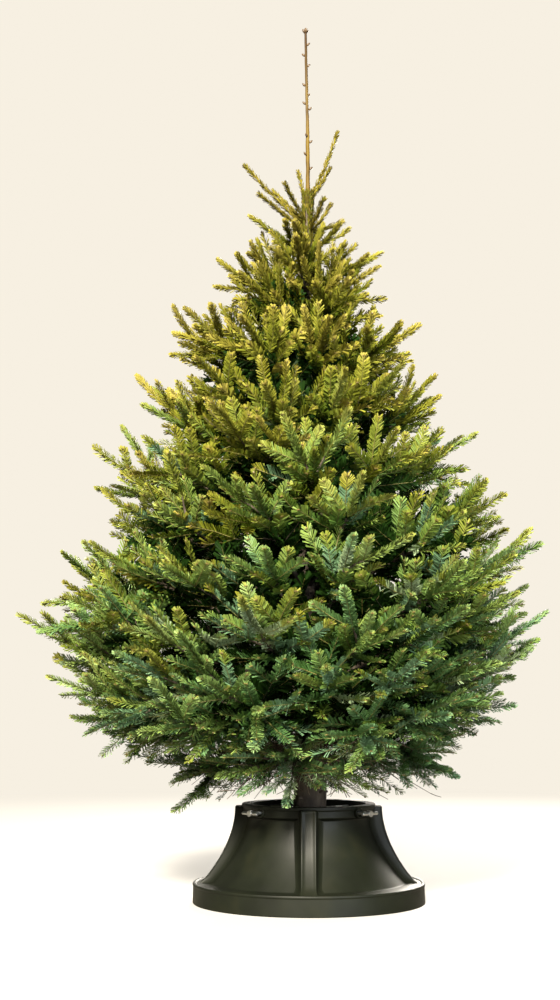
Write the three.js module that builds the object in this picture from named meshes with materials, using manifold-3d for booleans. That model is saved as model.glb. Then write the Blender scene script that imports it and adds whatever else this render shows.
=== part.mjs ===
// A cut fir Christmas tree, about 2.26 m tall, standing in a moulded plastic tree stand.
// Millimetres, +Z up. The origin is the centre of the stand's flat underside, on the floor.
// Azimuths run from +X towards +Y, so 0 is the tree's right, 180 its left and 270 its front.
import * as THREE from "three";
import { mergeVertices } from "three/addons/utils/BufferGeometryUtils.js";
import Module from "manifold-3d";

const wasm = await Module();
wasm.setup();

// ---------------------------------------------------------------- driving dimensions

const GAP = 0.4; // clearance between two solids that touch on the real tree
const CELL_FILL = 0.95; // how much of the space between two tiers their foliage may fill
const WEDGE_GAP = 1.5; // half the open slit between neighbouring masses of one tier

const STAND = {
  segments: 24,
  footRadius: 285,
  bandHeight: 48,
  bandWall: 18,
  height: 238,
  neckRadius: 152,
  flare: 86, // how much wider the skirt is at its foot than at its neck
  flarePower: 1.7,
  wall: 8,
  basinRadius: 138,
  basinFloor: 22,
  hubRadius: 140, // of the solid pad under the basin
  rimRadius: 164,
  rimHeight: 32,
};
const LEG = {
  count: 4,
  crestRadius: 181, // of the leg's outer edge at the neck
  crestFlare: 84,
  crestPower: 1.9,
  crestWidth: 34,
  rootWidth: 70,
};
const BOLT = {
  count: 4,
  sides: 6,
  azimuth: 45, // of the first one
  radius: 5,
  reach: 206,
  padRadius: 10,
  padLength: 7,
  barRadius: 4.5,
  barLength: 52,
};

const TRUNK_SIDES = 10;
// Height above the floor and radius of the stem: a flared cut foot, a long taper and a slim bare leader.
const TRUNK_STATIONS = [
  [STAND.basinFloor + GAP, 51],
  [75, 45.5],
  [160, 42.5],
  [420, 38],
  [740, 31.5],
  [1080, 24],
  [1400, 16.5],
  [1640, 11.5],
  [1790, 8.8],
  [1830, 6],
  [1980, 5.3],
  [2258, 3.4],
];
const LEAN = { sway: 5, period: 1500, tip: -3 }; // the stem wanders a few millimetres either way

// One entry for each tier of boughs, from the lowest. z is where its boughs leave the trunk. left and
// right are its reach on those sides and how high its tips stand there; front and back are reaches.
// thick caps its depth above and below, and root is how far out its foliage starts on boughs that
// show bare, 0 where the foliage hugs the trunk.
const TIERS = [
  {
    name: "skirt", masses: 4, tips: 3, start: 172, thick: 66, root: 178,
    z: 405, left: [345, 262], right: [396, 300], front: 380, back: 380,
  },
  {
    name: "low", masses: 5, tips: 3, start: 20, thick: 98, root: 165,
    z: 455, left: [604, 448], right: [520, 458], front: 560, back: 550,
  },
  {
    name: "wide", masses: 5, tips: 3, start: 344, thick: 90, root: 0,
    z: 540, left: [672, 560], right: [562, 565], front: 610, back: 600,
  },
  {
    name: "full", masses: 5, tips: 3, start: 18, thick: 90, root: 0,
    z: 635, left: [735, 690], right: [612, 685], front: 640, back: 630,
  },
  {
    name: "middle", masses: 4, tips: 4, start: 0, thick: 90, root: 0,
    z: 735, left: [672, 812], right: [608, 812], front: 600, back: 590,
  },
  {
    name: "upper", masses: 4, tips: 3, start: 45, thick: 90, root: 0,
    z: 850, left: [568, 958], right: [520, 950], front: 530, back: 520,
  },
  {
    name: "high", masses: 4, tips: 3, start: 0, thick: 90, root: 0,
    z: 980, left: [530, 1115], right: [440, 1098], front: 460, back: 450,
  },
  {
    name: "crown", masses: 3, tips: 4, start: 180, thick: 90, root: 0,
    z: 1120, left: [445, 1272], right: [350, 1255], front: 370, back: 370,
  },
  {
    name: "crest", masses: 3, tips: 3, start: 0, thick: 88, root: 0,
    z: 1265, left: [356, 1425], right: [312, 1395], front: 300, back: 300,
  },
  {
    name: "neck", masses: 3, tips: 3, start: 180, thick: 84, root: 0,
    z: 1425, left: [258, 1608], right: [216, 1588], front: 215, back: 210,
  },
  {
    name: "tuft", masses: 3, tips: 2, start: 45, thick: 60, root: 0,
    z: 1590, left: [162, 1722], right: [128, 1706], front: 125, back: 120,
  },
];
const BOW = 0.35; // the part of a tier's rise or fall that comes towards its tips
// The middle of every tier swells up and down a little round the tree, so no gap between tiers is flat.
const SWELL = { height: 16, waves: 3, length: 240 };

// Shape of a mass: its depth at each row from root to tip, under its tips and under the notches between.
const MASS = {
  rows: [0, 0.46, 0.82],
  tipDepths: [1, 1, 0.8],
  notchDepths: [1, 0.94, 0.6],
  notchReach: 0.84,
  uneven: 0.16,
  liftedTips: [0.1, 0.6, -0.45, 0.35, -0.6, 0.2, 0.75, -0.25],
};

const BOUGH = { radius: 12, tipRadius: 7, inside: 16, sides: 5 };

// The topmost growth: a sleeve of needles on the stem, with shoots that curve up and out of it.
// Each shoot has its azimuth, the height it leaves the stem at, its reach, how far its tip rises, how
// much it bends upwards, 1 for straight, and its radius.
const TOP = {
  foot: 1672,
  top: 1834,
  wide: 16,
  narrow: 7,
  shoots: [
    { azimuth: 8, z: 1790, reach: 79, rise: 180, bend: 1.35, radius: 8 },
    { azimuth: 340, z: 1782, reach: 60, rise: 79, bend: 1.4, radius: 8 },
    { azimuth: 150, z: 1772, reach: 28, rise: 91, bend: 1.3, radius: 8 },
    { azimuth: 186, z: 1712, reach: 162, rise: 158, bend: 1, radius: 9 },
    { azimuth: 208, z: 1694, reach: 138, rise: 82, bend: 1, radius: 9 },
    { azimuth: 160, z: 1716, reach: 94, rise: 101, bend: 1, radius: 9 },
    { azimuth: 232, z: 1716, reach: 92, rise: 84, bend: 1.1, radius: 9 },
    { azimuth: 75, z: 1700, reach: 42, rise: 58, bend: 1.2, radius: 10 },
    { azimuth: 352, z: 1694, reach: 60, rise: 73, bend: 1.5, radius: 8 },
    { azimuth: 28, z: 1694, reach: 100, rise: 44, bend: 1.2, radius: 10 },
    { azimuth: 300, z: 1696, reach: 78, rise: 62, bend: 1.2, radius: 10 },
    { azimuth: 115, z: 1698, reach: 92, rise: 80, bend: 1.1, radius: 9 },
  ],
};

const COLOURS = {
  plastic: 0x2b3424,
  steel: 0xa9abad,
  bark: 0x6d563c,
  foliage: 0x4c6a2c,
};

// ---------------------------------------------------------------- solids

const radians = THREE.MathUtils.degToRad;
const { lerp, clamp } = THREE.MathUtils;

/** The point at a radius, an azimuth in radians and a height. */
function polar(radius, azimuth, z) {
  return new THREE.Vector3(radius * Math.cos(azimuth), radius * Math.sin(azimuth), z);
}

/** Points and triangles as a closed solid, turned so that its faces point outwards. */
function solidOf(points, triangles) {
  let volume = 0;
  for (const [a, b, c] of triangles) volume += points[a].dot(points[b].clone().cross(points[c]));
  const triVerts = new Uint32Array(triangles.flatMap(([a, b, c]) => (volume < 0 ? [a, c, b] : [a, b, c])));
  const vertProperties = new Float32Array(points.flatMap((p) => [p.x, p.y, p.z]));
  return new wasm.Manifold(new wasm.Mesh({ numProp: 3, vertProperties, triVerts }));
}

/** A closed three.js geometry as a solid. Triangles that collapse at an axis are dropped. */
function solidFrom(geometry, matrix = new THREE.Matrix4()) {
  const source = geometry.index ? geometry.toNonIndexed() : geometry;
  const bare = new THREE.BufferGeometry();
  bare.setAttribute("position", source.getAttribute("position").clone()).applyMatrix4(matrix);
  const merged = mergeVertices(bare, 1e-3);
  const positions = merged.getAttribute("position");
  const points = [];
  for (let i = 0; i < positions.count; i++) {
    points.push(new THREE.Vector3().fromBufferAttribute(positions, i));
  }
  const triangles = [];
  for (let i = 0; i < merged.index.count; i += 3) {
    const [a, b, c] = [0, 1, 2].map((k) => merged.index.getX(i + k));
    if (a !== b && b !== c && a !== c) triangles.push([a, b, c]);
  }
  return solidOf(points, triangles);
}

/** Rings of equally many points, joined in order and closed by a fan round the middle of each end. */
function loft(rings) {
  const sides = rings[0].length;
  const middle = (ring) => ring.reduce((sum, p) => sum.add(p), new THREE.Vector3()).divideScalar(sides);
  const points = [...rings.flat(), middle(rings[0]), middle(rings.at(-1))];
  const [first, last] = [points.length - 2, points.length - 1];
  const end = (rings.length - 1) * sides;
  const triangles = [];
  for (let i = 0; i < sides; i++) {
    const j = (i + 1) % sides;
    for (let k = 0; k < end; k += sides) {
      triangles.push([k + i, k + j, k + sides + j]);
      triangles.push([k + i, k + sides + j, k + sides + i]);
    }
    triangles.push([first, j, i], [last, end + i, end + j]);
  }
  return solidOf(points, triangles);
}

/** A round limb along centres with a radius at each, cut square at both ends. */
function limb(centres, radii, sides) {
  const rings = centres.map((centre, k) => {
    const before = centres[Math.max(0, k - 1)];
    const after = centres[Math.min(centres.length - 1, k + 1)];
    const along = after.clone().sub(before).normalize();
    const across = new THREE.Vector3(-along.y, along.x, 0).normalize();
    const up = along.clone().cross(across);
    return Array.from({ length: sides }, (_, i) => {
      const turn = (2 * Math.PI * i) / sides;
      const out = across.clone().multiplyScalar(Math.cos(turn)).addScaledVector(up, Math.sin(turn));
      return out.multiplyScalar(radii[k]).add(centre);
    });
  });
  return loft(rings);
}

/** A repeatable stream of numbers from 0 to 1. */
function stream(seed) {
  let state = seed >>> 0;
  return () => {
    state = (state + 0x6d2b79f5) >>> 0;
    let mixed = Math.imul(state ^ (state >>> 15), 1 | state);
    mixed = (mixed + Math.imul(mixed ^ (mixed >>> 7), 61 | mixed)) ^ mixed;
    return ((mixed ^ (mixed >>> 14)) >>> 0) / 2 ** 32;
  };
}

// ---------------------------------------------------------------- stand

const boltHeight = STAND.height - STAND.rimHeight / 2;

/** Outer radius of the skirt between the foot band and the rim. */
function skirtRadius(z) {
  const up = clamp((z - STAND.bandHeight) / (STAND.height - STAND.rimHeight - STAND.bandHeight), 0, 1);
  return STAND.neckRadius + STAND.flare * (1 - up) ** STAND.flarePower;
}

/** The moulded base: foot band, flared skirt, water basin and four buttress legs in one piece. */
function standBase() {
  const S = STAND;
  const skirt = (t, inset) => {
    const z = lerp(S.bandHeight, S.height - S.rimHeight, t);
    return new THREE.Vector2(skirtRadius(z) - inset, z - inset);
  };
  const profile = [
    new THREE.Vector2(0, 0),
    new THREE.Vector2(S.hubRadius, 0),
    new THREE.Vector2(S.hubRadius, 120),
    ...[0.4, 0.2, 0].map((t) => skirt(t, S.wall)),
    new THREE.Vector2(S.footRadius - S.bandWall, S.bandHeight - S.wall),
    new THREE.Vector2(S.footRadius - S.bandWall, 0),
    new THREE.Vector2(S.footRadius, 0),
    new THREE.Vector2(S.footRadius - 3, S.bandHeight),
    ...[0, 0.15, 0.32, 0.52, 0.75, 1].map((t) => skirt(t, 0)),
    new THREE.Vector2(S.rimRadius, S.height - S.rimHeight + 6),
    new THREE.Vector2(S.rimRadius, S.height - 4),
    new THREE.Vector2(S.rimRadius - 4, S.height),
    new THREE.Vector2(S.basinRadius + 3, S.height),
    new THREE.Vector2(S.basinRadius, S.basinFloor + 8),
    new THREE.Vector2(S.basinRadius - 8, S.basinFloor),
    new THREE.Vector2(0, S.basinFloor),
  ];
  const upright = new THREE.Matrix4().makeRotationX(Math.PI / 2);
  let base = solidFrom(new THREE.LatheGeometry(profile, S.segments), upright);
  for (let i = 0; i < LEG.count; i++) base = base.add(standLeg((360 / LEG.count) * i));
  for (let i = 0; i < BOLT.count; i++) base = base.subtract(bolt(i, GAP));
  return base;
}

/** One buttress leg: a fin whose crest sweeps from the foot band up to the rim. */
function standLeg(azimuth) {
  const foot = STAND.bandHeight - 4;
  const top = STAND.height - 8;
  const rings = [0, 0.16, 0.36, 0.6, 1].map((t) => {
    const crest = LEG.crestRadius + LEG.crestFlare * (1 - t) ** LEG.crestPower;
    const back = skirtRadius(lerp(foot, top, t)) - STAND.wall / 2;
    const [outer, inner] = [LEG.crestWidth / 2, LEG.rootWidth / 2];
    const section = [
      [back, -inner],
      [crest - 8, -outer],
      [crest, -outer + 6],
      [crest, outer - 6],
      [crest - 8, outer],
      [back, inner],
    ];
    return section.map(([x, y]) => new THREE.Vector3(x, y, lerp(foot, top, t)));
  });
  return loft(rings).rotate([0, 0, azimuth]);
}

/** A clamping bolt: shank, pad against the trunk and cross-bar handle. grow gives its bare, wider shank. */
function bolt(index, grow = 0) {
  const tip = trunkRadius(boltHeight) + GAP;
  const along = (start, length, radius, sides) =>
    solidFrom(
      new THREE.CylinderGeometry(radius, radius, length, sides),
      new THREE.Matrix4().makeRotationZ(-Math.PI / 2).setPosition(start + length / 2, 0, 0),
    );
  let made = along(tip, BOLT.reach - tip, BOLT.radius + grow, BOLT.sides);
  if (!grow) {
    const bar = new THREE.CylinderGeometry(BOLT.barRadius, BOLT.barRadius, BOLT.barLength, BOLT.sides);
    made = made.add(along(tip, BOLT.padLength, BOLT.padRadius, BOLT.sides));
    made = made.add(solidFrom(bar, new THREE.Matrix4().setPosition(BOLT.reach - BOLT.radius, 0, 0)));
  }
  const centre = stemAt(boltHeight);
  const azimuth = BOLT.azimuth + (360 / BOLT.count) * index;
  return made.rotate([0, 0, azimuth]).translate([centre.x, centre.y, boltHeight]);
}

// ---------------------------------------------------------------- trunk and boughs

function trunkRadius(z) {
  const above = Math.max(1, TRUNK_STATIONS.findIndex(([height]) => height >= z));
  const [[z0, r0], [z1, r1]] = [TRUNK_STATIONS[above - 1], TRUNK_STATIONS[above]];
  return THREE.MathUtils.mapLinear(z, z0, z1, r0, r1);
}

/** The middle of the stem at a height. */
function stemAt(z) {
  const wander = (2 * Math.PI * z) / LEAN.period;
  const x = LEAN.sway * Math.sin(wander) + (LEAN.tip * z) / TRUNK_STATIONS.at(-1)[0];
  return new THREE.Vector3(x, 0.6 * LEAN.sway * Math.sin(0.8 * wander), z);
}

/** A stack of level rings round the stem, at heights with a radius at each. */
function sleeve(heights, radii, sides) {
  const rings = heights.map((z, k) =>
    Array.from({ length: sides }, (_, i) => polar(radii[k], (2 * Math.PI * i) / sides, 0).add(stemAt(z))),
  );
  return loft(rings);
}

/** The stem. grow widens it, and runs it past its flat ends, to cut its room in the foliage. */
function trunk(grow = 0) {
  const heights = TRUNK_STATIONS.map(([z]) => z);
  heights[0] -= 50 * grow;
  heights[heights.length - 1] += 50 * grow;
  return sleeve(heights, TRUNK_STATIONS.map(([, radius]) => radius + grow), TRUNK_SIDES);
}

/** How far a tier reaches and how high its tips stand at an azimuth, eased between its sides. */
function tierEdge(tier, azimuth) {
  const [x, y] = [Math.cos(azimuth), Math.sin(azimuth)];
  const side = x < 0 ? tier.left : tier.right;
  return {
    reach: side[0] * x * x + (y < 0 ? tier.front : tier.back) * y * y,
    height: lerp((tier.left[1] + tier.right[1]) / 2, side[1], x * x),
  };
}

/** Height of the middle of a tier at a radius and an azimuth. */
function tierHeight(tier, radius, azimuth) {
  const { reach, height } = tierEdge(tier, azimuth);
  const out = radius / reach;
  const swell = SWELL.height * Math.sin(SWELL.waves * azimuth + radius / SWELL.length) * Math.min(1, out);
  return tier.z + (height - tier.z) * out * (1 - BOW + BOW * out) + swell;
}

/** The azimuth of one of a tier's masses, in radians. */
function massAzimuth(tier, index) {
  return radians(tier.start + (360 / tier.masses) * index);
}

/** A main bough from the trunk to just inside its mass. grow widens it, to cut its socket. */
function bough(tier, index, grow = 0) {
  const azimuth = massAzimuth(tier, index);
  const start = trunkRadius(tier.z) * 0.6;
  const end = tier.root + BOUGH.inside;
  const steps = [0, 0.35, 0.7, 1];
  const centres = steps.map((t) => {
    const radius = lerp(start, end, t);
    return polar(radius, azimuth, lerp(tier.z - 12, tierHeight(tier, radius, azimuth), Math.sqrt(t)));
  });
  const radii = steps.map((t) => lerp(BOUGH.radius, BOUGH.tipRadius, Math.sqrt(t)) + grow);
  return limb(centres, radii, BOUGH.sides);
}

// ---------------------------------------------------------------- foliage

/**
 * A mass of foliage inside its own wedge of a tier: columns side by side, every other one running out
 * to a tip and the ones between ending in notches, with an upper and a lower skin that meet at its rim.
 */
function mass(level, index, cutter) {
  const tier = TIERS[level];
  const centre = massAzimuth(tier, index);
  const half = Math.PI / tier.masses;
  const columns = 2 * tier.tips + 1;
  const random = stream(1009 * level + 31 * index + 7);
  const root = tier.root || 0.55 * trunkRadius(tier.z);

  const room = (radius, azimuth, side) => {
    const neighbour = TIERS[level + side];
    const middle = tierHeight(tier, radius, azimuth);
    const away = neighbour ? Math.abs(tierHeight(neighbour, radius, azimuth) - middle) / 2 : tier.thick;
    return Math.min(away, tier.thick) * CELL_FILL;
  };
  const at = (radius, turn, share) => {
    const slit = Math.asin(WEDGE_GAP / radius);
    const azimuth = centre + clamp(turn * half, slit - half, half - slit);
    const z = tierHeight(tier, radius, azimuth) + share * room(radius, azimuth, Math.sign(share) || 1);
    return polar(radius, azimuth, z);
  };

  const points = [];
  const rowLength = 2 * MASS.rows.length + 1; // upper skin, rim, lower skin
  for (let c = 0; c < columns; c++) {
    const isTip = c % 2 === 1;
    const tipNumber = (c - 1) / 2 + index * tier.tips;
    const wander = isTip ? (random() - 0.5) * 0.3 : (random() - 0.5) * 0.1;
    const turn = c === 0 ? -1 : c === columns - 1 ? 1 : (2 * (c + wander)) / (columns - 1) - 1;
    const lift = isTip ? MASS.liftedTips[tipNumber % MASS.liftedTips.length] : 0;
    const { reach } = tierEdge(tier, centre + turn * half);
    const length = reach * (isTip ? 1 - 0.1 * random() : MASS.notchReach * (1 - 0.1 * random()));
    const skin = (side) =>
      MASS.rows.map((t, row) => {
        const radius = lerp(root, length, t);
        const depth = (isTip ? MASS.tipDepths : MASS.notchDepths)[row] * (1 - MASS.uneven * t * random());
        return at(radius, turn, clamp(side * depth + lift * t * t, -1, 1));
      });
    points.push(...skin(1), at(length, turn, lift), ...skin(-1).reverse());
  }

  const triangles = [];
  for (let c = 0; c < columns - 1; c++) {
    for (let k = 0; k < rowLength; k++) {
      const next = (k + 1) % rowLength;
      const [a, b] = [c * rowLength + k, c * rowLength + next];
      const [d, e] = [a + rowLength, b + rowLength];
      if (c % 2 === 0) triangles.push([a, b, e], [a, e, d]);
      else triangles.push([a, b, d], [b, e, d]);
    }
  }
  for (let k = 1; k < rowLength - 1; k++) {
    const far = (columns - 1) * rowLength;
    triangles.push([0, k + 1, k], [far, far + k, far + k + 1]);
  }
  return largest(solidOf(points, triangles).subtract(cutter));
}

/** The biggest body of a solid that a cut has left in several. */
function largest(solid) {
  return solid.decompose().reduce((best, body) => (body.volume() > best.volume() ? body : best));
}

/** The topmost growth in one piece: needles round the stem, and shoots that curve upwards. */
function topGrowth(cutter) {
  const heights = [TOP.foot, lerp(TOP.foot, TOP.top, 0.6), TOP.top];
  const depths = [TOP.wide, TOP.wide, TOP.narrow];
  let made = sleeve(heights, heights.map((z, k) => trunkRadius(z) + depths[k]), 7);
  for (const shoot of TOP.shoots) {
    const steps = [0, 0.4, 0.8, 1];
    const centres = steps.map((t) =>
      polar(shoot.reach * t, radians(shoot.azimuth), shoot.rise * t ** shoot.bend).add(stemAt(shoot.z)),
    );
    const radii = steps.map((t) => shoot.radius * (t === 1 ? 0.3 : 1.2 - 0.4 * t));
    made = made.add(limb(centres, radii, 4));
  }
  return made.subtract(cutter);
}

// ---------------------------------------------------------------- assembly

const tree = new THREE.Group();

const finishes = {
  plastic: new THREE.MeshStandardMaterial({ color: COLOURS.plastic, roughness: 0.45, metalness: 0 }),
  steel: new THREE.MeshStandardMaterial({ color: COLOURS.steel, roughness: 0.35, metalness: 1 }),
  bark: new THREE.MeshStandardMaterial({ color: COLOURS.bark, roughness: 0.9, metalness: 0 }),
  foliage: new THREE.MeshStandardMaterial({ color: COLOURS.foliage, roughness: 0.7, metalness: 0 }),
};

/** Adds a solid to the tree as a named mesh with a finish of its own. */
function place(name, solid, finish) {
  const { numProp, numVert, vertProperties, triVerts } = solid.getMesh();
  const positions = new Float32Array(numVert * 3);
  for (let i = 0; i < numVert; i++) {
    positions.set(vertProperties.subarray(i * numProp, i * numProp + 3), i * 3);
  }
  const geometry = new THREE.BufferGeometry();
  geometry.setAttribute("position", new THREE.BufferAttribute(positions, 3));
  geometry.setIndex(new THREE.BufferAttribute(new Uint32Array(triVerts), 1));
  geometry.computeVertexNormals();
  const node = new THREE.Mesh(geometry, finishes[finish].clone());
  node.name = name;
  tree.add(node);
}

place("stand_base", standBase(), "plastic");
for (let i = 0; i < BOLT.count; i++) place(`stand_bolt_${i + 1}`, bolt(i), "steel");
place("trunk", trunk(), "bark");

const trunkRoom = trunk(GAP);
TIERS.forEach((tier, level) => {
  for (let i = 0; i < tier.masses; i++) {
    const number = `${tier.name}_${i + 1}`;
    if (tier.root) place(`bough_${number}`, bough(tier, i).subtract(trunkRoom), "bark");
    place(`foliage_${number}`, mass(level, i, tier.root ? bough(tier, i, GAP) : trunkRoom), "foliage");
  }
});
place("foliage_top", topGrowth(trunkRoom), "foliage");

export default tree;
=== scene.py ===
"""The looks of the cut fir in its stand: bark, boughs, twigs, needles, buds and a moulded stand."""

import math

import bpy
import numpy as np
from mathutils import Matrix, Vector
from mathutils.bvhtree import BVHTree


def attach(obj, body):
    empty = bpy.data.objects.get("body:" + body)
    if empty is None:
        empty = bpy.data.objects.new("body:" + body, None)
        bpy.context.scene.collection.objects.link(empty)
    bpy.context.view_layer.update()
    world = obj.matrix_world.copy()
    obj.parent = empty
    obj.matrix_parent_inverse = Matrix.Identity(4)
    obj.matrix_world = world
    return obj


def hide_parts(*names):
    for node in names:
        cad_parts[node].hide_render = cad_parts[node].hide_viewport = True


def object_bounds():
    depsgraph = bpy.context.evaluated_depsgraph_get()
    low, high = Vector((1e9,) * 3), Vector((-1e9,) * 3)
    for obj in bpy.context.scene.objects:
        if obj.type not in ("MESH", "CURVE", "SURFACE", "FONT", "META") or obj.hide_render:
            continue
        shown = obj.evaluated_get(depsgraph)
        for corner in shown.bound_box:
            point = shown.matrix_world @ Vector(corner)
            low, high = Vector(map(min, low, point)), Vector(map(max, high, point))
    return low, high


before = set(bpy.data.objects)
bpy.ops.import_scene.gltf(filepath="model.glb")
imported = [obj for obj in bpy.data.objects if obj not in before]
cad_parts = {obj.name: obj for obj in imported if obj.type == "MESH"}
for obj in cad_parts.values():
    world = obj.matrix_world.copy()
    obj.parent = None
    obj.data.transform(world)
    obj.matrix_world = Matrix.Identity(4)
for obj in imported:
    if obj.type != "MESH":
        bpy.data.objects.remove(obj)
CAD_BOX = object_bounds()

SEED = 20264
rng = np.random.default_rng(SEED)
UP = np.array([0.0, 0.0, 1.0])

# ---- small helpers


def unit(v):
    """Vectors scaled to length one, along the last axis."""
    v = np.asarray(v, float)
    return v / np.maximum(np.linalg.norm(v, axis=-1, keepdims=True), 1e-12)


def outward(azimuth):
    """The level direction away from the axis at an azimuth."""
    return np.array([math.cos(azimuth), math.sin(azimuth), 0])


def outward_at(point):
    """The level direction away from the axis at a point."""
    return unit(np.array([point[0], point[1], 0]))


def axis_distance(points):
    """How far points are from the axis."""
    return np.hypot(points[..., 0], points[..., 1])


def node_arrays(name):
    """A CAD node's vertices and triangles."""
    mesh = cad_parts[name].data
    mesh.calc_loop_triangles()
    co = np.zeros(len(mesh.vertices) * 3)
    mesh.vertices.foreach_get("co", co)
    tris = np.zeros(len(mesh.loop_triangles) * 3, np.int32)
    mesh.loop_triangles.foreach_get("vertices", tris)
    return co.reshape(-1, 3), tris.reshape(-1, 3)


def welded(verts, tris):
    """The same surface with vertices that share a place made one."""
    keys = np.round(verts * 2e4).astype(np.int64)
    _, first, inverse = np.unique(keys, axis=0, return_index=True, return_inverse=True)
    return verts[first], inverse.reshape(-1)[tris]


def make_object(name, verts, faces, material, smooth=False):
    """A piece on the root body; faces is a list of arrays, each of faces with equal sides."""
    sides = np.concatenate([np.full(len(g), g.shape[1]) for g in faces]).astype(np.int32)
    corners = np.concatenate([g.ravel() for g in faces]).astype(np.int32)
    mesh = bpy.data.meshes.new(name)
    mesh.vertices.add(len(verts))
    mesh.vertices.foreach_set("co", np.ascontiguousarray(verts, np.float32).ravel())
    mesh.loops.add(len(corners))
    mesh.loops.foreach_set("vertex_index", corners)
    mesh.polygons.add(len(sides))
    mesh.polygons.foreach_set("loop_start", (np.cumsum(sides) - sides).astype(np.int32))
    mesh.update(calc_edges=True)
    mesh.polygons.foreach_set("use_smooth", np.full(len(sides), smooth))
    mesh.materials.append(material)
    piece = bpy.data.objects.new(name, mesh)
    bpy.context.scene.collection.objects.link(piece)
    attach(piece, "root")
    return piece


class Parts:
    """Meshes gathered into one."""

    def __init__(self):
        self.verts, self.faces, self.count = [], [], 0

    def add(self, verts, *faces):
        """Adds a mesh."""
        self.verts.append(np.asarray(verts, float).reshape(-1, 3))
        self.faces += [np.asarray(f) + self.count for f in faces]
        self.count += len(self.verts[-1])

    def make(self, name, surface, slot, smooth=True):
        """The piece that holds them all."""
        return make_object(name, np.concatenate(self.verts), self.faces, surface.material, smooth)


# ---- materials


def add_node(tree, kind, inputs, **settings):
    """A shader node, with inputs set to values or joined to the outputs of other nodes."""
    node = tree.nodes.new("ShaderNode" + kind)
    for key, value in settings.items():
        setattr(node, key, value)
    feed(tree, node, inputs)
    return node


def feed(tree, node, inputs):
    """Sets or joins a node's inputs, by name or number."""
    for key, value in inputs.items():
        if isinstance(value, bpy.types.NodeSocket):
            tree.links.new(value, node.inputs[key])
        else:
            node.inputs[key].default_value = value


class Surface:
    """A node material round one Principled node."""

    def __init__(self, name, color, roughness, **values):
        self.material = bpy.data.materials.new(name)
        self.material.use_nodes = True
        self.tree = self.material.node_tree
        self.bsdf = self.tree.nodes["Principled BSDF"]
        feed(self.tree, self.bsdf, {"Base Color": (*color, 1), "Roughness": roughness})
        feed(self.tree, self.bsdf, {key.replace("_", " "): value for key, value in values.items()})

    def noise(self, scale, detail=2.0, stretch=(1, 1, 1)):
        """A noise in the object's own space."""
        where = add_node(self.tree, "TexCoord", {})
        mapping = add_node(self.tree, "Mapping", {"Vector": where.outputs["Object"], "Scale": stretch})
        inputs = {"Vector": mapping.outputs["Vector"], "Scale": scale, "Detail": detail}
        return add_node(self.tree, "TexNoise", inputs).outputs["Fac"]

    def mottle(self, scale, stops, stretch=(1, 1, 1)):
        """Colours the surface by a noise, which it gives; stops are (place, colour)."""
        noise = self.noise(scale, 6.0, stretch)
        ramp = add_node(self.tree, "ValToRGB", {"Fac": noise})
        while len(ramp.color_ramp.elements) < len(stops):
            ramp.color_ramp.elements.new(0.5)
        for element, (place, color) in zip(ramp.color_ramp.elements, stops):
            element.position = place
            element.color = (*color, 1)
        feed(self.tree, self.bsdf, {"Base Color": ramp.outputs["Color"]})
        return noise

    def bump(self, height, strength, distance):
        """Adds a bump from a noise."""
        inputs = {"Height": height, "Strength": strength, "Distance": distance}
        node = add_node(self.tree, "Bump", inputs)
        feed(self.tree, self.bsdf, {"Normal": node.outputs["Normal"]})


# ---- envelopes from the CAD masses

foliage_nodes = sorted(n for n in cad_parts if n.startswith("foliage_"))
bough_nodes = sorted(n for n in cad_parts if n.startswith("bough_"))


class Mass:
    """One CAD mass of foliage: its surface, where it starts and where its tips are."""

    def __init__(self, name):
        self.name = name
        self.verts, self.tris = welded(*node_arrays(name))
        self.radius = axis_distance(self.verts)
        inner = self.radius < self.radius.min() + 0.02
        self.root_z = float(self.verts[inner, 2].mean())
        self.tips = self.find_tips()

    def find_tips(self):
        """Vertices further out than every neighbour."""
        best = np.zeros(len(self.verts))
        for a, b in ((0, 1), (1, 2), (2, 0)):
            np.maximum.at(best, self.tris[:, a], self.radius[self.tris[:, b]])
            np.maximum.at(best, self.tris[:, b], self.radius[self.tris[:, a]])
        return self.verts[(self.radius > best) & (self.radius > 0.6 * self.radius.max())]


masses = [Mass(n) for n in foliage_nodes if n != "foliage_top"]

# The crown's outside by height and azimuth: a smooth surface through the tips of the masses.
Z_STEP, AZ_BINS = 0.02, 72
TIP_REACH_Z, TIP_REACH_AZ = 0.065, 0.30
tip_points = np.concatenate([m.tips for m in masses])
tip_radius = axis_distance(tip_points)
tip_azimuth = np.arctan2(tip_points[:, 1], tip_points[:, 0])
z_floor = float(tip_points[:, 2].min())
z_levels = np.arange(z_floor, tip_points[:, 2].max() + Z_STEP, Z_STEP)
bin_azimuth = (np.arange(AZ_BINS) + 0.5) * 2 * np.pi / AZ_BINS
off_z = z_levels[:, None, None] - tip_points[:, 2]
off_azimuth = np.angle(np.exp(1j * (bin_azimuth[None, :, None] - tip_azimuth)))
near = np.exp(-((off_z / TIP_REACH_Z) ** 2) - (off_azimuth / TIP_REACH_AZ) ** 2) * tip_radius**2 + 1e-12
outside_grid = (near * tip_radius).sum(2) / near.sum(2)


def crown_radius(points):
    """Radius of the crown's outside at each point's height and azimuth."""
    row = np.clip((points[..., 2] - z_floor) / Z_STEP, 0, len(z_levels) - 1.001)
    column = (np.arctan2(points[..., 1], points[..., 0]) / (2 * np.pi) % 1) * AZ_BINS
    i, j = row.astype(int), column.astype(int) % AZ_BINS
    part = row - i
    return outside_grid[i, j] * (1 - part) + outside_grid[i + 1, j] * part


solid_starts = np.cumsum([0] + [len(m.verts) for m in masses])
solids = BVHTree.FromPolygons(
    np.concatenate([m.verts for m in masses]).tolist(),
    np.concatenate([m.tris + first for m, first in zip(masses, solid_starts)]).tolist(),
)


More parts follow.
